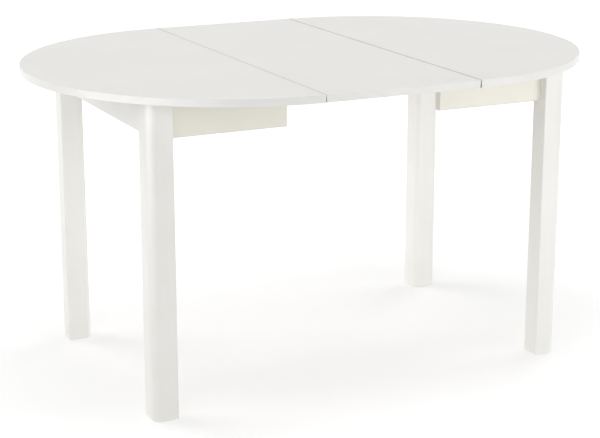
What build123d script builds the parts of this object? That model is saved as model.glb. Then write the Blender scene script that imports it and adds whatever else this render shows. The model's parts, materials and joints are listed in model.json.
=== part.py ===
"""Round dining table that pulls apart at the middle to take a loose leaf.

Millimetres. The origin is on the floor under the middle of the table, X runs along the pull,
Y to the rear and Z up. The table stands pulled out, with its leaf in place.
"""
import os

from build123d import *

os.makedirs("parts", exist_ok=True)

# Tops and leaf
table_height = 765
top_thick = 18
top_radius = 510
leaf_width = 390
left_gap = 0.9
right_gap = 2.6
leaf_undercut = 2.0
edge_band = 1.5
seam_band = 1.0
band_arris = 0.8

# Legs, from each half's own seam and from the table's middle line to their outer faces
leg_out_x = 349
leg_out_y = 341
leg_size = 60
leg_round = 24
leg_chamfer = 9
leg_arris = 2.5
foot_ease = 0.8 * leg_arris

# Aprons
apron_high = 90
apron_thick = 22
apron_setback = 21
apron_short_of_seam = 4
apron_arris = 4.5

# Foot glides
glide_radius = 13
glide_proud = 1.5
glide_stem_radius = 3
glide_stem_long = 14

# Corner brackets and leg bolts
plate = 2.5
bend_radius = 3
bracket_reach = 150
bracket_high = 60
bracket_below_top = 14
flange_long = 35
bolt_radius = 4
bolt_in_leg = 45
bolt_spare = 4
bolt_spacing = 30
washer_radius = 8.5
washer_thick = 1.6
nut_flats = 13
nut_high = 6.5

# Screws
screw_radius = 2.0
screw_head_radius = 4.0
screw_rim_high = 0.9
screw_crown_high = 1.5
screw_crown_taper = 32
recess_long = 4.2
recess_wide = 1.0
recess_deep = 1.6
screw_bite = 11
screw_fit = 0.05
bracket_screw_spacing = 36

# Steel angles under the top
angle_leg = 30
angle_wide = 25
angle_thick = 2
angle_screw_out = 19
end_angle_y = 120
side_angle_x = (40, 150)

# Slides: grooved rails on the halves, running bars between them
wood_arris = 1.5
rail_face_y = 170
rail_wide = 24
rail_high = 40
rail_short_of_seam = 6
rail_short_of_apron = 7
rail_screw_edge = 7
rail_screw_margin = 19
rail_counterbore = 20
counterbore_radius = 4.6
groove_below_top = 21
groove_deep = 9
groove_mouth = 14
groove_bottom = 19
slide_play = 0.4
bar_wide = 22
bar_drop = 39
bar_short_of_apron = 4

# Stops of the slides
stop_from_seam = 40
stop_long = 24
stop_under_bar = 20
stop_screw_margin = 5
pin_radius = 3
pin_proud = 6
pin_in_bar = 15
pin_play = 0.3

# Cross tie
tie_wide = 60
tie_thick = 18
tie_screw_spacing = 36

# Leaf bearers and pegs
bearer_thick = 2
bearer_short_of_seam = 10
peg_radius = 4
peg_in_leaf = 10
peg_in_bar = 14
peg_play = 0.15
peg_spacing = 240

# Places worked out from the sizes above
top_under = table_height - top_thick
opening = leaf_width + left_gap + right_gap
seam = opening / 2
core_radius = top_radius - edge_band
leaf_left = left_gap - seam
leaf_right = seam - right_gap
apron_low = top_under - apron_high
apron_inner = apron_setback + apron_thick
end_apron_out = leg_out_x - apron_setback
end_apron_in = leg_out_x - apron_inner
side_apron_in = leg_out_y - apron_inner
side_apron_mid = side_apron_in + apron_thick / 2
chamfer_reach = 2 * leg_size - leg_chamfer
flange_start = bracket_reach - apron_inner
flange_mid = flange_start + 0.6 * flange_long
bracket_mid = top_under - bracket_below_top - bracket_high / 2
bolt_heights = (bracket_mid - bolt_spacing / 2, bracket_mid + bolt_spacing / 2)
bracket_screw_heights = (
    bracket_mid - bracket_screw_spacing / 2,
    bracket_mid + bracket_screw_spacing / 2,
)
bracket_gap = (bracket_reach - chamfer_reach) / 2**0.5
bolt_beyond = bracket_gap + plate + washer_thick + nut_high + bolt_spare
rail_long = end_apron_in - rail_short_of_seam - rail_short_of_apron
rail_low = top_under - rail_high
rail_out_y = rail_face_y + rail_wide
rail_screw_y = rail_out_y - rail_screw_edge
rail_first_screw = rail_short_of_seam + rail_screw_margin
rail_last_screw = rail_short_of_seam + rail_long - rail_screw_margin
rail_screw_x = (rail_first_screw, (rail_first_screw + rail_last_screw) / 2, rail_last_screw)
rail_screw_seat = rail_low + rail_counterbore
groove_z = top_under - groove_below_top
tongue_mouth = groove_mouth - 2 * slide_play
tongue_tip = groove_bottom - 2 * slide_play
bar_out_y = rail_face_y - slide_play
bar_in_y = bar_out_y - bar_wide
bar_mid_y = (bar_out_y + bar_in_y) / 2
bar_top = top_under - bearer_thick
bar_low = top_under - bar_drop
bar_long = 2 * (end_apron_in - bar_short_of_apron)
stop_plate_in_y = rail_face_y - stop_under_bar
stop_screw_x = (stop_from_seam + stop_screw_margin, stop_from_seam + stop_long - stop_screw_margin)
pin_x = seam + stop_from_seam + stop_long + pin_radius + pin_play
peg_x = peg_spacing / 2

SIDES = (("left", -1), ("right", 1))
DEPTHS = (("front", -1), ("rear", 1))


def leg_corner(sign, depth_sign):
    """Plane on the floor at a leg's outer corner, with both axes pointing inward."""
    origin = (sign * (seam + leg_out_x), depth_sign * leg_out_y, 0)
    inward = (-sign, 0, 0) if sign == depth_sign else (0, -depth_sign, 0)
    return Plane(origin=origin, x_dir=inward)


def across(corner, reach, height):
    """Plane square to a leg's diagonal, where the two inward distances add up to reach."""
    origin = corner.from_local_coords((reach / 2, reach / 2, height))
    return Plane(origin=origin, z_dir=corner.x_dir + corner.y_dir)


def flange_planes(corner, lift):
    """Planes at the bracket's screws, lifted off the inner faces of the two aprons."""
    near = apron_inner + lift
    planes = []
    for height in bracket_screw_heights:
        on_one = corner.from_local_coords((near, flange_mid, height))
        on_other = corner.from_local_coords((flange_mid, near, height))
        planes.append(Plane(origin=on_one, z_dir=corner.x_dir))
        planes.append(Plane(origin=on_other, z_dir=corner.y_dir))
    return planes


def angle_planes(sign):
    """Planes across the steel angles, with x out of the apron's inner face and y up."""
    planes = []
    for depth_sign in (-1, 1):
        spot = (sign * (seam + end_apron_in), depth_sign * end_angle_y, top_under)
        planes.append(Plane(origin=spot, x_dir=(-sign, 0, 0), z_dir=(0, sign, 0)))
        for reach in side_angle_x:
            spot = (sign * (seam + reach), depth_sign * side_apron_in, top_under)
            planes.append(Plane(origin=spot, x_dir=(0, -depth_sign, 0), z_dir=(-depth_sign, 0, 0)))
    return planes


def angle_apron_planes(sign, lift):
    """Planes at the angles' screws into the aprons."""
    spot = (lift, -angle_screw_out, 0)
    return [Plane(origin=p.from_local_coords(spot), z_dir=p.x_dir) for p in angle_planes(sign)]


def angle_top_planes(sign, lift):
    """Planes at the angles' screws into the top, facing down."""
    spot = (angle_screw_out, -lift, 0)
    return [Plane(origin=p.from_local_coords(spot), z_dir=(0, 0, -1)) for p in angle_planes(sign)]


def under_planes(places, height):
    """Planes facing down at the given x, y places."""
    return [Plane(origin=(x, y, height), z_dir=(0, 0, -1)) for x, y in places]


def rail_screw_places(sign, depth_sign):
    """Places of a rail's screws."""
    return [(sign * (seam + reach), depth_sign * rail_screw_y) for reach in rail_screw_x]


def stop_screw_places(sign, depth_sign):
    """Places of a stop plate's screws."""
    return [(sign * (seam + reach), depth_sign * rail_screw_y) for reach in stop_screw_x]


def bore(planes, radius, deep):
    """Round holes that run from the planes against their z direction."""
    with BuildSketch(*planes) as mouths:
        Circle(radius)
    extrude(mouths.sketch, amount=-deep, mode=Mode.SUBTRACT)


def screws(seats, long):
    """Pan-head screws with a cross recess, with the underside of each head on its seat plane."""
    with BuildSketch(*seats) as shanks:
        Circle(screw_radius)
    extrude(shanks.sketch, amount=-long)
    with BuildSketch(*seats) as rims:
        Circle(screw_head_radius)
    extrude(rims.sketch, amount=screw_rim_high)
    with BuildSketch(*[seat.offset(screw_rim_high) for seat in seats]) as crowns:
        Circle(screw_head_radius)
    extrude(crowns.sketch, amount=screw_crown_high, taper=screw_crown_taper)
    with BuildSketch(*[seat.offset(screw_rim_high + screw_crown_high) for seat in seats]) as recesses:
        Rectangle(recess_long, recess_wide)
        Rectangle(recess_wide, recess_long)
    extrude(recesses.sketch, amount=-recess_deep, mode=Mode.SUBTRACT)


def dovetail(depth_sign, face, deep, mouth, bottom):
    """Points of a dovetail that widens outward from the given face."""
    near = depth_sign * face
    far = depth_sign * (face + deep)
    return (
        (near, groove_z - mouth / 2),
        (far, groove_z - bottom / 2),
        (far, groove_z + bottom / 2),
        (near, groove_z + mouth / 2),
    )


def leaf_section(left, right):
    """Points across the leaf, from one undercut edge to the other."""
    return (
        (left, table_height),
        (right, table_height),
        (right - leaf_undercut, top_under),
        (left + leaf_undercut, top_under),
    )


# Tops of the two halves, with their bands
for side, sign in SIDES:
    half = Plane(origin=(sign * seam, 0, 0), x_dir=(sign, 0, 0))
    rail_screws_here = [place for _, depth_sign in DEPTHS for place in rail_screw_places(sign, depth_sign)]
    keep = (Align.MIN, Align.CENTER)

    with BuildPart() as top_board:
        with BuildSketch(half.offset(top_under)):
            Circle(core_radius)
            with Locations((seam_band, 0)):
                Rectangle(top_radius, 2 * top_radius, align=keep, mode=Mode.INTERSECT)
        extrude(amount=top_thick)
        screw_spots = angle_top_planes(sign, 0) + under_planes(rail_screws_here, top_under)
        bore(screw_spots, screw_radius + screw_fit, screw_bite + screw_fit)
    top_board.part.label = f"{side}_top_board"
    export_step(top_board.part, f"parts/{top_board.part.label}.step")

    with BuildPart() as curved_band:
        with BuildSketch(half.offset(top_under)):
            Circle(top_radius)
            Circle(core_radius, mode=Mode.SUBTRACT)
            Rectangle(top_radius, 2 * top_radius, align=keep, mode=Mode.INTERSECT)
        extrude(amount=top_thick)
        arcs = curved_band.edges().filter_by(GeomType.CIRCLE)
        fillet(arcs.filter_by(lambda arc: arc.radius > core_radius + edge_band / 2), radius=band_arris)
    curved_band.part.label = f"{side}_curved_band"
    export_step(curved_band.part, f"parts/{curved_band.part.label}.step")

    with BuildPart() as seam_strip:
        with BuildSketch(half.offset(top_under)):
            Circle(core_radius)
            Rectangle(seam_band, 2 * top_radius, align=keep, mode=Mode.INTERSECT)
        extrude(amount=top_thick)
    seam_strip.part.label = f"{side}_seam_band"
    export_step(seam_strip.part, f"parts/{seam_strip.part.label}.step")

# Legs, glides and corner brackets
for side, sign in SIDES:
    for depth, depth_sign in DEPTHS:
        corner = leg_corner(sign, depth_sign)
        foot_middle = corner.from_local_coords((leg_size / 2, leg_size / 2, glide_proud))
        foot = Plane(origin=foot_middle, z_dir=(0, 0, -1))

        with BuildPart() as leg:
            with BuildSketch(corner.offset(glide_proud)) as section:
                Rectangle(leg_size, leg_size, align=(Align.MIN, Align.MIN))
                fillet(section.vertices().sort_by_distance((0, 0))[0], radius=leg_round)
                chamfer(section.vertices().sort_by_distance((leg_size, leg_size))[0], length=leg_chamfer)
                for spot in ((leg_size, 0), (0, leg_size)):
                    fillet(section.vertices().sort_by_distance(spot)[0], radius=leg_arris)
            extrude(amount=top_under - glide_proud)
            chamfer(leg.faces().sort_by(Axis.Z)[0].edges(), length=foot_ease)
            bolt_spots = [across(corner, chamfer_reach, height) for height in bolt_heights]
            bore(bolt_spots, bolt_radius + screw_fit, bolt_in_leg + screw_fit)
            bore([foot], glide_stem_radius + screw_fit, glide_stem_long + screw_fit)
        leg.part.label = f"{side}_{depth}_leg"
        export_step(leg.part, f"parts/{leg.part.label}.step")

        with BuildPart() as glide:
            with BuildSketch(foot):
                Circle(glide_radius)
            extrude(amount=glide_proud)
            with BuildSketch(foot):
                Circle(glide_stem_radius)
            extrude(amount=-glide_stem_long)
        glide.part.label = f"{side}_{depth}_glide"
        export_step(glide.part, f"parts/{glide.part.label}.step")

        with BuildPart() as bracket:
            inside = apron_inner + plate
            bend = flange_start + plate * (2**0.5 - 1)
            flange_end = flange_start + flange_long
            with BuildSketch(corner.offset(bracket_mid - bracket_high / 2)) as outline:
                Polygon(
                    (apron_inner, flange_end),
                    (apron_inner, flange_start),
                    (flange_start, apron_inner),
                    (flange_end, apron_inner),
                    (flange_end, inside),
                    (bend, inside),
                    (inside, bend),
                    (inside, flange_end),
                    align=None,
                )
                for spot in ((apron_inner, flange_start), (flange_start, apron_inner)):
                    fillet(outline.vertices().sort_by_distance(spot)[0], radius=bend_radius + plate)
                for spot in ((bend, inside), (inside, bend)):
                    fillet(outline.vertices().sort_by_distance(spot)[0], radius=bend_radius)
            extrude(amount=bracket_high)
            bolt_spots = [across(corner, bracket_reach + 2 * plate, height) for height in bolt_heights]
            bore(bolt_spots, bolt_radius + screw_fit, 2 * plate)
            bore(flange_planes(corner, 2 * plate), screw_radius + screw_fit, 2 * plate)
        bracket.part.label = f"{side}_{depth}_bracket"
        export_step(bracket.part, f"parts/{bracket.part.label}.step")

# Aprons
for side, sign in SIDES:
    half = Plane(origin=(sign * seam, 0, 0), x_dir=(sign, 0, 0))
    corners = [leg_corner(sign, depth_sign) for _, depth_sign in DEPTHS]
    flange_spots = [plane for corner in corners for plane in flange_planes(corner, 0)]
    apron_screw_spots = flange_spots + angle_apron_planes(sign, 0)

    with BuildPart() as end_apron:
        with BuildSketch(half.offset(apron_low)):
            with Locations((end_apron_in, 0)):
                Rectangle(apron_thick, 2 * (leg_out_y - leg_size), align=(Align.MIN, Align.CENTER))
        extrude(amount=apron_high)
        fillet(end_apron.faces().sort_by(Axis.Z)[0].edges().filter_by(Axis.Y), radius=apron_arris)
        end_spots = [plane for plane in apron_screw_spots if abs(plane.z_dir.X) > 0.5]
        bore(end_spots, screw_radius + screw_fit, screw_bite + screw_fit)
    end_apron.part.label = f"{side}_end_apron"
    export_step(end_apron.part, f"parts/{end_apron.part.label}.step")

    for depth, depth_sign in DEPTHS:
        with BuildPart() as side_apron:
            with BuildSketch(half.offset(apron_low)):
                with Locations((apron_short_of_seam, depth_sign * sign * side_apron_mid)):
                    side_long = leg_out_x - leg_size - apron_short_of_seam
                    Rectangle(side_long, apron_thick, align=(Align.MIN, Align.CENTER))
            extrude(amount=apron_high)
            fillet(side_apron.faces().sort_by(Axis.Z)[0].edges().filter_by(Axis.X), radius=apron_arris)
            side_spots = [plane for plane in apron_screw_spots if depth_sign * plane.z_dir.Y < -0.5]
            bore(side_spots, screw_radius + screw_fit, screw_bite + screw_fit)
        side_apron.part.label = f"{side}_{depth}_apron"
        export_step(side_apron.part, f"parts/{side_apron.part.label}.step")

# Leg bolts, washers and nuts, and the screws of the brackets
for side, sign in SIDES:
    corners = [leg_corner(sign, depth_sign) for _, depth_sign in DEPTHS]
    bolt_spots = [across(corner, chamfer_reach, height) for corner in corners for height in bolt_heights]

    with BuildPart() as leg_bolts:
        with BuildSketch(*bolt_spots):
            Circle(bolt_radius)
        extrude(amount=bolt_beyond)
        with BuildSketch(*bolt_spots):
            Circle(bolt_radius)
        extrude(amount=-bolt_in_leg)
    leg_bolts.part.label = f"{side}_leg_bolts"
    export_step(leg_bolts.part, f"parts/{leg_bolts.part.label}.step")

    with BuildPart() as leg_washers:
        with BuildSketch(*[spot.offset(bracket_gap + plate) for spot in bolt_spots]):
            Circle(washer_radius)
            Circle(bolt_radius + screw_fit, mode=Mode.SUBTRACT)
        extrude(amount=washer_thick)
    leg_washers.part.label = f"{side}_leg_washers"
    export_step(leg_washers.part, f"parts/{leg_washers.part.label}.step")

    with BuildPart() as leg_nuts:
        with BuildSketch(*[spot.offset(bracket_gap + plate + washer_thick) for spot in bolt_spots]):
            RegularPolygon(nut_flats / 2, 6, major_radius=False)
            Circle(bolt_radius + screw_fit, mode=Mode.SUBTRACT)
        extrude(amount=nut_high)
    leg_nuts.part.label = f"{side}_leg_nuts"
    export_step(leg_nuts.part, f"parts/{leg_nuts.part.label}.step")

    with BuildPart() as bracket_screws:
        seats = [plane for corner in corners for plane in flange_planes(corner, plate)]
        screws(seats, plate + screw_bite)
    bracket_screws.part.label = f"{side}_bracket_screws"
    export_step(bracket_screws.part, f"parts/{bracket_screws.part.label}.step")

# Steel angles that hold the tops on the aprons
for side, sign in SIDES:
    with BuildPart() as top_angles:
        with BuildSketch(*angle_planes(sign)):
            Polygon(
                (0, 0),
                (angle_leg, 0),
                (angle_leg, -angle_thick),
                (angle_thick, -angle_thick),
                (angle_thick, -angle_leg),
                (0, -angle_leg),
                align=None,
            )
        extrude(amount=angle_wide / 2, both=True)
        holes = angle_apron_planes(sign, 2 * angle_thick) + angle_top_planes(sign, 2 * angle_thick)
        bore(holes, screw_radius + screw_fit, 2 * angle_thick)
    top_angles.part.label = f"{side}_top_angles"
    export_step(top_angles.part, f"parts/{top_angles.part.label}.step")

    with BuildPart() as angle_screws:
        seats = angle_apron_planes(sign, angle_thick) + angle_top_planes(sign, angle_thick)
        screws(seats, angle_thick + screw_bite)
    angle_screws.part.label = f"{side}_angle_screws"
    export_step(angle_screws.part, f"parts/{angle_screws.part.label}.step")

# Slide rails under the halves, with their stop plates
for side, sign in SIDES:
    for depth, depth_sign in DEPTHS:
        with BuildPart() as rail:
            with BuildSketch(Plane.YZ.offset(sign * (seam + rail_short_of_seam))) as section:
                with Locations((depth_sign * (rail_face_y + rail_wide / 2), top_under)):
                    Rectangle(rail_wide, rail_high, align=(Align.CENTER, Align.MAX))
                chamfer(section.vertices().sort_by(Axis.Y)[:2], length=wood_arris)
            extrude(amount=sign * rail_long)
            with BuildSketch(Plane.YZ.offset(sign * (seam + rail_short_of_seam))):
                groove = dovetail(depth_sign, rail_face_y, groove_deep, groove_mouth, groove_bottom)
                Polygon(*groove, align=None)
            extrude(amount=sign * rail_long, mode=Mode.SUBTRACT)
            places = rail_screw_places(sign, depth_sign)
            bore(under_planes(places, rail_low), screw_radius + screw_fit, rail_high)
            bore(under_planes(places, rail_low), counterbore_radius, rail_counterbore)
            stop_places = stop_screw_places(sign, depth_sign)
            bore(under_planes(stop_places, rail_low), screw_radius + screw_fit, screw_bite + screw_fit)
        rail.part.label = f"{side}_{depth}_rail"
        export_step(rail.part, f"parts/{rail.part.label}.step")

    with BuildPart() as rail_screws:
        places = [place for _, depth_sign in DEPTHS for place in rail_screw_places(sign, depth_sign)]
        screws(under_planes(places, rail_screw_seat), top_under - rail_screw_seat + screw_bite)
    rail_screws.part.label = f"{side}_rail_screws"
    export_step(rail_screws.part, f"parts/{rail_screws.part.label}.step")

    with BuildPart() as stop_plates:
        stop_mid = sign * (seam + stop_from_seam + stop_long / 2)
        with BuildSketch(Plane.XY.offset(rail_low)):
            for depth, depth_sign in DEPTHS:
                with Locations((stop_mid, depth_sign * (stop_plate_in_y + rail_out_y) / 2)):
                    Rectangle(stop_long, rail_out_y - stop_plate_in_y)
        extrude(amount=-angle_thick)
        places = [place for _, depth_sign in DEPTHS for place in stop_screw_places(sign, depth_sign)]
        bore(under_planes(places, rail_low - 2 * angle_thick), screw_radius + screw_fit, 2 * angle_thick)
    stop_plates.part.label = f"{side}_stop_plates"
    export_step(stop_plates.part, f"parts/{stop_plates.part.label}.step")

    with BuildPart() as stop_screws:
        screws(under_planes(places, rail_low - angle_thick), angle_thick + screw_bite)
    stop_screws.part.label = f"{side}_stop_screws"
    export_step(stop_screws.part, f"parts/{stop_screws.part.label}.step")

# Running bars with their tongues, tied together at the middle
pin_places = [(sign * pin_x, depth_sign * bar_mid_y) for _, sign in SIDES for _, depth_sign in DEPTHS]
peg_places = [(sign * peg_x, depth_sign * bar_mid_y) for _, sign in SIDES for _, depth_sign in DEPTHS]
tie_screw_places = [
    (sign * tie_screw_spacing / 2, depth_sign * bar_mid_y) for _, sign in SIDES for _, depth_sign in DEPTHS
]

for depth, depth_sign in DEPTHS:
    with BuildPart() as running_bar:
        with BuildSketch(Plane.YZ) as section:
            with Locations((depth_sign * bar_mid_y, (bar_top + bar_low) / 2)):
                Rectangle(bar_wide, bar_top - bar_low)
            chamfer(section.vertices().sort_by(Axis.Y)[:2], length=wood_arris)
            Polygon(*dovetail(depth_sign, bar_out_y, groove_deep, tongue_mouth, tongue_tip), align=None)
        extrude(amount=bar_long / 2, both=True)
        here = [place for place in pin_places if place[1] * depth_sign > 0]
        bore(under_planes(here, bar_low), pin_radius + screw_fit, pin_in_bar + screw_fit)
        here = [place for place in tie_screw_places if place[1] * depth_sign > 0]
        bore(under_planes(here, bar_low), screw_radius + screw_fit, screw_bite + screw_fit)
        with BuildSketch(Plane.XY.offset(bar_top)):
            with Locations(*[place for place in peg_places if place[1] * depth_sign > 0]):
                Circle(peg_radius + peg_play)
        extrude(amount=-peg_in_bar - peg_play, mode=Mode.SUBTRACT)
    running_bar.part.label = f"{depth}_running_bar"
    export_step(running_bar.part, f"parts/{running_bar.part.label}.step")

with BuildPart() as cross_tie:
    with BuildSketch(Plane.XY.offset(bar_low)):
        Rectangle(tie_wide, 2 * bar_out_y)
    extrude(amount=-tie_thick)
    chamfer(cross_tie.faces().sort_by(Axis.Z)[0].edges(), length=wood_arris)
    bore(under_planes(tie_screw_places, bar_low - tie_thick), screw_radius + screw_fit, tie_thick)
cross_tie.part.label = "cross_tie"
export_step(cross_tie.part, "parts/cross_tie.step")

with BuildPart() as tie_screws:
    screws(under_planes(tie_screw_places, bar_low - tie_thick), tie_thick + screw_bite)
tie_screws.part.label = "tie_screws"
export_step(tie_screws.part, "parts/tie_screws.step")

with BuildPart() as stop_pins:
    with BuildSketch(Plane.XY.offset(bar_low - pin_proud)):
        with Locations(*pin_places):
            Circle(pin_radius)
    extrude(amount=pin_proud + pin_in_bar)
stop_pins.part.label = "stop_pins"
export_step(stop_pins.part, "parts/stop_pins.step")

# Loose leaf
with BuildPart() as leaf_board:
    with BuildSketch(Plane.XZ):
        Polygon(*leaf_section(leaf_left + seam_band, leaf_right - seam_band), align=None)
    extrude(amount=core_radius, both=True)
    bore(under_planes(peg_places, top_under), peg_radius + screw_fit, peg_in_leaf + screw_fit)
leaf_board.part.label = "leaf_board"
export_step(leaf_board.part, "parts/leaf_board.step")

for depth, depth_sign in DEPTHS:
    with BuildPart() as leaf_end_band:
        with BuildSketch(Plane.XZ.offset(-depth_sign * core_radius)):
            Polygon(*leaf_section(leaf_left, leaf_right), align=None)
        extrude(amount=-depth_sign * edge_band)
        outer_face = leaf_end_band.faces().sort_by(Axis.Y)[0 if depth_sign < 0 else -1]
        fillet(outer_face.edges().filter_by(Axis.X), radius=band_arris)
    leaf_end_band.part.label = f"leaf_{depth}_band"
    export_step(leaf_end_band.part, f"parts/{leaf_end_band.part.label}.step")

    with BuildPart() as bearer:
        with BuildSketch(Plane.XY.offset(bar_top)):
            with Locations((0, depth_sign * bar_mid_y)):
                Rectangle(leaf_width - 2 * bearer_short_of_seam, bar_wide)
            with Locations(*[place for place in peg_places if place[1] * depth_sign > 0]):
                Circle(peg_radius + screw_fit, mode=Mode.SUBTRACT)
        extrude(amount=bearer_thick)
    bearer.part.label = f"leaf_{depth}_bearer"
    export_step(bearer.part, f"parts/{bearer.part.label}.step")

for side, sign in SIDES:
    with BuildPart() as leaf_seam_band:
        outer = leaf_left if sign < 0 else leaf_right
        with BuildSketch(Plane.XZ):
            Polygon(
                (outer, table_height),
                (outer - sign * leaf_undercut, top_under),
                (outer - sign * (leaf_undercut + seam_band), top_under),
                (outer - sign * seam_band, table_height),
                align=None,
            )
        extrude(amount=core_radius, both=True)
    leaf_seam_band.part.label = f"leaf_{side}_band"
    export_step(leaf_seam_band.part, f"parts/{leaf_seam_band.part.label}.step")

with BuildPart() as leaf_pegs:
    with BuildSketch(Plane.XY.offset(bar_top - peg_in_bar)):
        with Locations(*peg_places):
            Circle(peg_radius)
    extrude(amount=peg_in_bar + bearer_thick + peg_in_leaf)
leaf_pegs.part.label = "leaf_pegs"
export_step(leaf_pegs.part, "parts/leaf_pegs.step")
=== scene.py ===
"""Looks of a round dining table that pulls apart at the middle to take a loose leaf.

Metres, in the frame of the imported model: the origin is on the floor under the middle of the table, X runs
along the pull, Y to the rear and Z up. The table stands pulled out, with its leaf in place.
"""
import json
import math
from functools import cache

import bpy
from mathutils import Euler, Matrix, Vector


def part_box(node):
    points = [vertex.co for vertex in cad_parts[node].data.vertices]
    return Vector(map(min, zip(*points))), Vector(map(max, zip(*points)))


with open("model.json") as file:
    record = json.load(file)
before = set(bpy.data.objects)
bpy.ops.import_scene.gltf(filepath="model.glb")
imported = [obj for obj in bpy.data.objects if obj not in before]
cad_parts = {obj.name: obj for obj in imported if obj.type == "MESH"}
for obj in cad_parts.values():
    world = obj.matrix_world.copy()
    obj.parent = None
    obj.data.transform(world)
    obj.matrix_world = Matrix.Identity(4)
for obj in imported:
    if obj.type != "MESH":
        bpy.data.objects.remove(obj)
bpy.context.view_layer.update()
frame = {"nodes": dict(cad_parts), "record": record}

# Camera: where it stands, how far it is turned to the right and down in degrees, and its focal length in
# pixels of the 600 by 438 picture
camera_place = (-1.7667, -3.6377, 1.4606)
camera_yaw = 25.724
camera_pitch = 15.552
focal_pixels = 1648.8
picture_width = 600
sensor_width = 36.0

# Surroundings: the horizon's light, which is stronger towards where it leans, fades into the light overhead.
# The fade goes by the upward part of a direction, which is 0 at the horizon and 1 straight up
horizon_light = 1.18
horizon_lean = (-0.11, 0.15, 0.0)
overhead_light = 0.04
horizon_top = 0.50
overhead_from = 0.70

# What the lens sees of the surroundings, by the same measure
horizon_shown = 1.0
overhead_shown = 0.8
horizon_shown_top = 0.15
overhead_shown_from = 0.35

# Softboxes: name, place, aim, width, height, power, and whether they also show in the gloss
SOFTBOXES = (
    ("left_rear_softbox", (-4.0, 4.0, 4.3), (0.0, 0.0, 0.5), 4.0, 4.0, 112.0, False),
    ("upper_left_softbox", (-2.0, -1.8, 2.2), (-0.4, -0.2, 0.5), 1.4, 1.4, 6.0, True),
    ("upper_right_softbox", (4.4, 1.6, 4.9), (0.0, 0.0, 0.7), 4.0, 4.0, 88.0, False),
    ("right_front_softbox", (1.35, -1.9, 0.45), (0.5, 0.0, 0.5), 1.4, 0.8, 8.0, True),
    ("overhead_softbox", (0.0, -0.7, 6.0), (0.0, -0.1, 0.0), 2.6, 2.6, 64.0, True),
    ("knee_space_softbox", (0.0, -0.15, 0.40), (0.0, 1.0, 0.40), 0.8, 0.3, 0.64, False),
)

# Low strips on the left that show only in the gloss of the paint and the edging: name, place, aim, width,
# height and power
GLOSS_STRIPS = (
    ("left_strip", (-2.65, -0.45, 0.28), (-0.6, -0.25, 0.65), 2.4, 0.4, 24.0),
    ("left_front_strip", (-2.15, -1.75, 0.28), (-0.55, -0.34, 0.65), 1.8, 0.4, 12.0),
)

# Floor: how much light it throws back on the table, how strongly it lights what is closer than a small gap,
# such as the feet, and how pale the lens sees it
floor_reach = 40.0
floor_bounce = 0.82
foot_gap = 0.02
foot_light = 0.7
floor_shown_diffuse = 0.75

# The floor's glow in the lens is dimmer in an oval under the table, a painted shadow of the table. Its stops
# are pairs of a distance, in half widths of the oval, and a strength
shadow_oval_middle = (0.19, 0.10, 0.0)
shadow_oval_half_widths = (0.68, 0.41, 1.0)
glow_reach = 6.0
GLOW_STOPS = ((0.3, 0.242), (1.8, 0.40), (glow_reach, 0.62))

# Paint on the legs and end aprons, and the creamier, glossier paint on the long aprons, whose cream is in
# part painted warm shade from light bounced under the top: dull and fresh colour, least and greatest
# roughness
LEG_PAINT = ((240, 239, 234), (243, 242, 238), 0.36, 0.42)
APRON_PAINT_AND_WARM_SHADE = ((238, 235, 224), (241, 238, 228), 0.30, 0.36)

# Lines per metre along X, Y and Z: those drawn along the edging, and those left on the plate by its rolls
DRAWN_LINES = (9, 9, 1400)
ROLLED_LINES = (60, 60, 900)

# Values between which noise mostly lies
noise_low = 0.3
noise_high = 0.7

# Sockets of a colour mix, by number because their names repeat
mix_factor = 0
mix_first = 6
mix_second = 7
mix_result = 2


def srgb(red, green, blue):
    """Linear colour from 0 to 255 screen values."""
    def linear(value):
        share = value / 255
        return share / 12.92 if share <= 0.04045 else ((share + 0.055) / 1.055) ** 2.4
    return (linear(red), linear(green), linear(blue), 1.0)


def grey(level):
    """Linear colour of one level in red, green and blue."""
    return (level, level, level, 1.0)


def ramp(nodes, links, factor, stops):
    """Colour along a ramp of stops, which are pairs of a position and a linear colour."""
    band = nodes.new("ShaderNodeValToRGB")
    elements = band.color_ramp.elements
    while len(elements) < len(stops):
        elements.new(1.0)
    for element, (position, colour) in zip(elements, stops):
        element.position = position
        element.color = colour
    links.new(factor, band.inputs["Fac"])
    return band.outputs["Color"]


def all_ways(per_metre):
    """Features per metre that are the same along X, Y and Z."""
    return (per_metre, per_metre, per_metre)


def grain(axis, lengthwise, crosswise):
    """Features per metre for a grain that runs along one axis."""
    return tuple(lengthwise if letter == axis else crosswise for letter in "XYZ")


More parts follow.
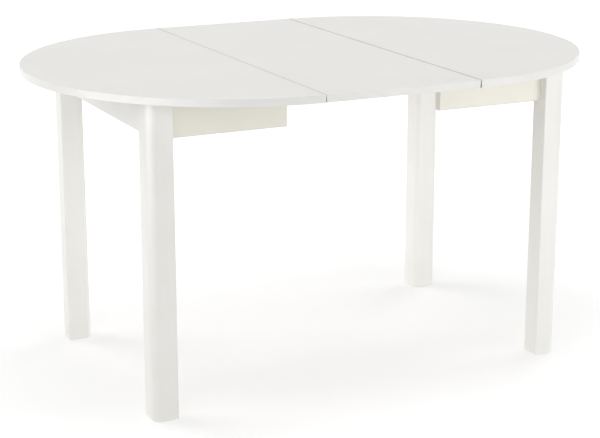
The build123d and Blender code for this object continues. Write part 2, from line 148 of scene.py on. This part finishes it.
class Finish:
    """A node material while it is put together."""

    def __init__(self, name, **constants):
        """Starts with the shader's numbers that are the same all over the surface."""
        self.material = bpy.data.materials.new(name)
        self.material.use_nodes = True
        self.nodes = self.material.node_tree.nodes
        self.links = self.material.node_tree.links
        self.shader = self.nodes["Principled BSDF"]
        self.place = self.nodes.new("ShaderNodeTexCoord").outputs["Object"]
        for socket, value in constants.items():
            self.shader.inputs[socket].default_value = value

    def scaled(self, per_metre):
        """Coordinates with so many features per metre along X, Y and Z."""
        mapping = self.nodes.new("ShaderNodeMapping")
        mapping.inputs["Scale"].default_value = per_metre
        self.links.new(self.place, mapping.inputs["Vector"])
        return mapping.outputs["Vector"]

    def noise(self, per_metre, detail, roughness=0.5, distortion=0.0):
        """Cloudy noise."""
        texture = self.nodes.new("ShaderNodeTexNoise")
        texture.inputs["Scale"].default_value = 1.0
        texture.inputs["Detail"].default_value = detail
        texture.inputs["Roughness"].default_value = roughness
        texture.inputs["Distortion"].default_value = distortion
        self.links.new(self.scaled(per_metre), texture.inputs["Vector"])
        return texture.outputs["Fac"]

    def cells(self, per_metre):
        """Random value of each cell of a cracked pattern."""
        texture = self.nodes.new("ShaderNodeTexVoronoi")
        texture.inputs["Scale"].default_value = 1.0
        self.links.new(self.scaled(per_metre), texture.inputs["Vector"])
        return texture.outputs["Color"]

    def spread(self, factor, low, high, start=noise_low, end=noise_high):
        """Number from low to high as the factor goes from start to end."""
        span = self.nodes.new("ShaderNodeMapRange")
        span.inputs["From Min"].default_value = start
        span.inputs["From Max"].default_value = end
        span.inputs["To Min"].default_value = low
        span.inputs["To Max"].default_value = high
        self.links.new(factor, span.inputs["Value"])
        return span.outputs["Result"]

    def colours(self, factor, *stops):
        """Colour along a ramp of stops, which are pairs of a position and a screen colour."""
        linear_stops = [(position, srgb(*colour)) for position, colour in stops]
        return ramp(self.nodes, self.links, factor, linear_stops)

    def clouded(self, per_metre, detail, dull, fresh):
        """Colour that drifts between two screen colours, in clouds of one size along X, Y and Z."""
        cloud = self.noise(all_ways(per_metre), detail)
        return self.colours(cloud, (noise_low, dull), (noise_high, fresh))

    def darkened(self, colour, factor, shade):
        """Colour multiplied by a shade where the factor is high."""
        mix = self.nodes.new("ShaderNodeMix")
        mix.data_type = "RGBA"
        mix.blend_type = "MULTIPLY"
        mix.inputs[mix_second].default_value = shade
        self.links.new(factor, mix.inputs[mix_factor])
        self.links.new(colour, mix.inputs[mix_first])
        return mix.outputs[mix_result]

    def bump(self, height, strength, distance, under=None):
        """Surface relief, on top of another one if that is given."""
        relief = self.nodes.new("ShaderNodeBump")
        relief.inputs["Strength"].default_value = strength
        relief.inputs["Distance"].default_value = distance
        self.links.new(height, relief.inputs["Height"])
        if under is not None:
            self.links.new(under, relief.inputs["Normal"])
        return relief.outputs["Normal"]

    def completed(self, colour, roughness, relief):
        """The material, with what varies over the surface linked to its shader."""
        self.links.new(colour, self.shader.inputs["Base Color"])
        self.links.new(roughness, self.shader.inputs["Roughness"])
        self.links.new(relief, self.shader.inputs["Normal"])
        return self.material


@cache
def white_laminate():
    """Satin melamine board with a fine pearl texture."""
    finish = Finish("white_laminate", IOR=1.5)
    colour = finish.clouded(4, detail=3, dull=(231, 230, 227), fresh=(234, 233, 230))
    pearl = finish.noise(all_ways(1100), detail=2)
    smudge = finish.noise(all_ways(30), detail=3)
    relief = finish.bump(pearl, strength=0.10, distance=0.0002)
    return finish.completed(colour, finish.spread(smudge, low=0.42, high=0.50), relief)


def drawn_edging(finish, colour, least, greatest):
    """Plastic edging with fine drawn lines along its length, between its least and greatest roughness."""
    drawn = finish.noise(DRAWN_LINES, detail=3)
    relief = finish.bump(drawn, strength=0.08, distance=0.0002)
    return finish.completed(colour, finish.spread(drawn, least, greatest), relief)


@cache
def edge_band():
    """White edging of the rim."""
    finish = Finish("edge_band", IOR=1.5)
    colour = finish.clouded(6, detail=2, dull=(234, 233, 230), fresh=(238, 237, 234))
    return drawn_edging(finish, colour, least=0.30, greatest=0.40)


@cache
def seam_edge_painted_shade():
    """Edging at the seams, greyed to paint the shade that falls into the gaps between the halves and the
    leaf.
    """
    finish = Finish("seam_edge_painted_shade", IOR=1.5)
    # Painted shade: this grey, far darker than the rim's edging, stands in for the shade inside the seam
    # gaps
    colour = finish.clouded(40, detail=3, dull=(184, 182, 178), fresh=(198, 196, 192))
    return drawn_edging(finish, colour, least=0.42, greatest=0.54)


@cache
def painted_wood(axis):
    """Off-white lacquer, with the wood's grain faintly showing through and a slight orange peel."""
    finish = Finish(f"painted_wood_{axis}", IOR=1.5)
    # On the long aprons (along X) the creamier colour is partly painted warm shade from light bounced under
    # the top
    dull, fresh, least, greatest = APRON_PAINT_AND_WARM_SHADE if axis == "X" else LEG_PAINT
    colour = finish.clouded(7, detail=3, dull=dull, fresh=fresh)
    fibre = finish.noise(grain(axis, lengthwise=5, crosswise=170), detail=4, roughness=0.6, distortion=0.4)
    peel = finish.noise(all_ways(520), detail=1)
    relief = finish.bump(fibre, strength=0.12, distance=0.0004)
    relief = finish.bump(peel, strength=0.05, distance=0.0002, under=relief)
    return finish.completed(colour, finish.spread(fibre, least, greatest), relief)


@cache
def beech(axis):
    """Planed beech: pale pinkish brown with short dark flecks."""
    finish = Finish(f"beech_{axis}", IOR=1.45)
    fibre_shade = (0.82, 0.76, 0.70, 1.0)
    fleck_shade = (0.62, 0.50, 0.40, 1.0)
    board = finish.noise(grain(axis, lengthwise=1.5, crosswise=28), detail=3, distortion=0.6)
    fibre = finish.noise(grain(axis, lengthwise=14, crosswise=700), detail=3, roughness=0.6)
    fleck = finish.noise(grain(axis, lengthwise=150, crosswise=1100), detail=1)
    colour = finish.colours(board, (0.25, (196, 152, 108)), (0.5, (214, 174, 130)), (0.75, (203, 160, 115)))
    fibre_share = finish.spread(fibre, low=0.0, high=0.6)
    fleck_share = finish.spread(fleck, low=0.0, high=0.9, start=0.60, end=0.68)
    colour = finish.darkened(colour, fibre_share, fibre_shade)
    colour = finish.darkened(colour, fleck_share, fleck_shade)
    relief = finish.bump(fibre, strength=0.25, distance=0.0004)
    return finish.completed(colour, finish.spread(fibre, low=0.52, high=0.68), relief)


@cache
def zinc_steel():
    """Bright zinc plate with a faint spangle and rolling lines."""
    finish = Finish("zinc_steel", Metallic=1.0)
    spangle = finish.cells(all_ways(420))
    rolled = finish.noise(ROLLED_LINES, detail=3)
    colour = finish.colours(spangle, (0.2, (176, 179, 182)), (0.8, (201, 203, 205)))
    relief = finish.bump(rolled, strength=0.12, distance=0.0002)
    return finish.completed(colour, finish.spread(rolled, low=0.30, high=0.44), relief)


@cache
def glide_plastic():
    """Moulded plastic with a matt spark-eroded texture."""
    finish = Finish("glide_plastic", IOR=1.46)
    colour = finish.clouded(60, detail=2, dull=(212, 211, 205), fresh=(220, 219, 213))
    speck = finish.noise(all_ways(1800), detail=2)
    relief = finish.bump(speck, strength=0.3, distance=0.0002)
    return finish.completed(colour, finish.spread(speck, low=0.48, high=0.60), relief)


# Finishes by material slot: those with a grain, those without, and the nodes that have the seams' own
GRAINED = {"painted_wood": painted_wood, "beech": beech}
PLAIN = {
    "white_laminate": white_laminate,
    "edge_band": edge_band,
    "zinc_steel": zinc_steel,
    "glide_plastic": glide_plastic,
}
SEAM_EDGES = ("left_seam_band", "right_seam_band", "leaf_left_band", "leaf_right_band")


def longest_axis(node):
    """Axis that a piece is longest along."""
    low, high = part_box(node)
    sides = dict(zip("XYZ", high - low))
    return max(sides, key=sides.get)


def finish_of(node, slot):
    """Material of a node."""
    if node in SEAM_EDGES:
        return seam_edge_painted_shade()
    if slot in GRAINED:
        return GRAINED[slot](longest_axis(node))
    return PLAIN[slot]()


for subpart in frame["record"]["subparts"]:
    for holder in frame["nodes"][subpart["node"]].material_slots:
        holder.material = finish_of(subpart["node"], subpart["material_slot"])


def shown_to_lens(nodes, links):
    """1 for rays that carry the backdrop to the lens, straight or by a mirror or glass, and 0 for others."""
    path = nodes.new("ShaderNodeLightPath")
    total = path.outputs["Is Camera Ray"]
    for kind in ("Is Glossy Ray", "Is Transmission Ray"):
        either = nodes.new("ShaderNodeMath")
        either.operation = "MAXIMUM"
        links.new(total, either.inputs[0])
        links.new(path.outputs[kind], either.inputs[1])
        total = either.outputs[0]
    return total


def matt(nodes, level):
    """Matt grey shader."""
    shader = nodes.new("ShaderNodeBsdfDiffuse")
    shader.inputs["Color"].default_value = grey(level)
    return shader.outputs[0]


def mixed(nodes, links, factor, first, second):
    """The first shader where the factor is 0 and the second where it is 1."""
    mix = nodes.new("ShaderNodeMixShader")
    for source, socket in zip((factor, first, second), mix.inputs):
        links.new(source, socket)
    return mix.outputs[0]


def floor_for_table(nodes, links):
    """Floor that throws light back on the table, and lights what is close above it, such as the feet."""
    under_feet = nodes.new("ShaderNodeEmission")
    under_feet.inputs["Strength"].default_value = foot_light
    is_close = nodes.new("ShaderNodeMath")
    is_close.operation = "LESS_THAN"
    is_close.inputs[1].default_value = foot_gap
    links.new(nodes.new("ShaderNodeLightPath").outputs["Ray Length"], is_close.inputs[0])
    return mixed(nodes, links, is_close.outputs[0], matt(nodes, floor_bounce), under_feet.outputs[0])


def glow_strength(nodes, links):
    """Floor's glow, rising outwards from the oval's middle: dimmer under the table as a painted shadow."""
    oval = nodes.new("ShaderNodeMapping")
    oval.vector_type = "TEXTURE"
    oval.inputs["Location"].default_value = shadow_oval_middle
    oval.inputs["Scale"].default_value = [glow_reach * half_width for half_width in shadow_oval_half_widths]
    links.new(nodes.new("ShaderNodeTexCoord").outputs["Object"], oval.inputs["Vector"])
    outward = nodes.new("ShaderNodeVectorMath")
    outward.operation = "LENGTH"
    links.new(oval.outputs["Vector"], outward.inputs[0])
    stops = [(distance / glow_reach, grey(strength)) for distance, strength in GLOW_STOPS]
    return ramp(nodes, links, outward.outputs["Value"], stops)


def floor_for_lens(nodes, links):
    """Floor that keeps the table's shadow and glows by itself, more dimly under the table as a painted
    shadow.
    """
    glow = nodes.new("ShaderNodeEmission")
    links.new(glow_strength(nodes, links), glow.inputs["Strength"])
    both = nodes.new("ShaderNodeAddShader")
    links.new(matt(nodes, floor_shown_diffuse), both.inputs[0])
    links.new(glow.outputs[0], both.inputs[1])
    return both.outputs[0]


def make_floor():
    """Pale floor that can be seen through from below."""
    bpy.ops.mesh.primitive_plane_add(size=2 * floor_reach)
    floor = bpy.context.object
    floor.name = "floor"
    material = bpy.data.materials.new("floor")
    material.use_nodes = True
    nodes = material.node_tree.nodes
    links = material.node_tree.links
    nodes.clear()
    for_table = floor_for_table(nodes, links)
    for_lens = floor_for_lens(nodes, links)
    from_above = mixed(nodes, links, shown_to_lens(nodes, links), for_table, for_lens)
    from_below = nodes.new("ShaderNodeBsdfTransparent").outputs[0]
    is_below = nodes.new("ShaderNodeNewGeometry").outputs["Backfacing"]
    output = nodes.new("ShaderNodeOutputMaterial")
    links.new(mixed(nodes, links, is_below, from_above, from_below), output.inputs["Surface"])
    floor.data.materials.append(material)


def leaning_horizon(nodes, links, direction):
    """The horizon's light, stronger towards where it leans."""
    lean = nodes.new("ShaderNodeVectorMath")
    lean.operation = "DOT_PRODUCT"
    lean.inputs[1].default_value = horizon_lean
    links.new(direction, lean.inputs[0])
    light = nodes.new("ShaderNodeMath")
    light.operation = "MULTIPLY_ADD"
    light.inputs[1].default_value = horizon_light
    light.inputs[2].default_value = horizon_light
    links.new(lean.outputs["Value"], light.inputs[0])
    return light.outputs[0]


def feed(links, value, socket):
    """Gives a socket the output of another node, or a number."""
    if isinstance(value, bpy.types.NodeSocket):
        links.new(value, socket)
    else:
        socket.default_value = value


def faded(nodes, links, upward, start, end, horizon, overhead):
    """Light that fades from the horizon's to the one overhead as the upward part goes from start to end."""
    fade = nodes.new("ShaderNodeMapRange")
    fade.interpolation_type = "SMOOTHSTEP"
    values = {"Value": upward, "From Min": start, "From Max": end, "To Min": horizon, "To Max": overhead}
    for name, value in values.items():
        feed(links, value, fade.inputs[name])
    return fade.outputs["Result"]


def make_world():
    """White surroundings, brighter at the horizon than overhead, which the lens sees nearly evenly white."""
    world = bpy.data.worlds.new("surroundings")
    bpy.context.scene.world = world
    world.use_nodes = True
    nodes = world.node_tree.nodes
    links = world.node_tree.links
    nodes.clear()
    direction = nodes.new("ShaderNodeTexCoord").outputs["Generated"]
    split = nodes.new("ShaderNodeSeparateXYZ")
    links.new(direction, split.inputs[0])
    upward = split.outputs["Z"]
    horizon = leaning_horizon(nodes, links, direction)
    for_table = faded(nodes, links, upward, horizon_top, overhead_from, horizon, overhead_light)
    for_lens = faded(
        nodes, links, upward, horizon_shown_top, overhead_shown_from, horizon_shown, overhead_shown
    )
    strength = nodes.new("ShaderNodeMix")
    links.new(shown_to_lens(nodes, links), strength.inputs["Factor"])
    links.new(for_table, strength.inputs["A"])
    links.new(for_lens, strength.inputs["B"])
    background = nodes.new("ShaderNodeBackground")
    background.inputs["Color"].default_value = grey(1.0)
    links.new(strength.outputs["Result"], background.inputs["Strength"])
    output = nodes.new("ShaderNodeOutputWorld")
    links.new(background.outputs[0], output.inputs["Surface"])


def make_lamp(name, place, target, width, height, power, shines=True, lights=True):
    """Softbox that faces a target and isn't seen itself."""
    light = bpy.data.lights.new(name, "AREA")
    light.shape = "RECTANGLE"
    light.size = width
    light.size_y = height
    light.energy = power
    lamp = bpy.data.objects.new(name, light)
    bpy.context.scene.collection.objects.link(lamp)
    lamp.location = place
    lamp.visible_camera = False
    lamp.visible_diffuse = lights
    lamp.visible_glossy = shines
    aim = [there - here for here, there in zip(place, target)]
    flat = math.hypot(aim[0], aim[1])
    lamp.rotation_euler = Euler((math.atan2(flat, -aim[2]), 0.0, math.atan2(-aim[0], aim[1])))


def make_camera():
    """Camera at the photograph's angle."""
    data = bpy.data.cameras.new("camera")
    data.sensor_width = sensor_width
    data.lens = sensor_width * focal_pixels / picture_width
    camera = bpy.data.objects.new("camera", data)
    bpy.context.scene.collection.objects.link(camera)
    camera.location = camera_place
    camera.rotation_euler = Euler((math.radians(90 - camera_pitch), 0.0, math.radians(-camera_yaw)))
    bpy.context.scene.camera = camera


make_floor()
make_world()
for softbox in SOFTBOXES:
    make_lamp(*softbox)
for strip in GLOSS_STRIPS:
    make_lamp(*strip, lights=False)
make_camera()
bpy.context.scene.view_settings.view_transform = "Standard"
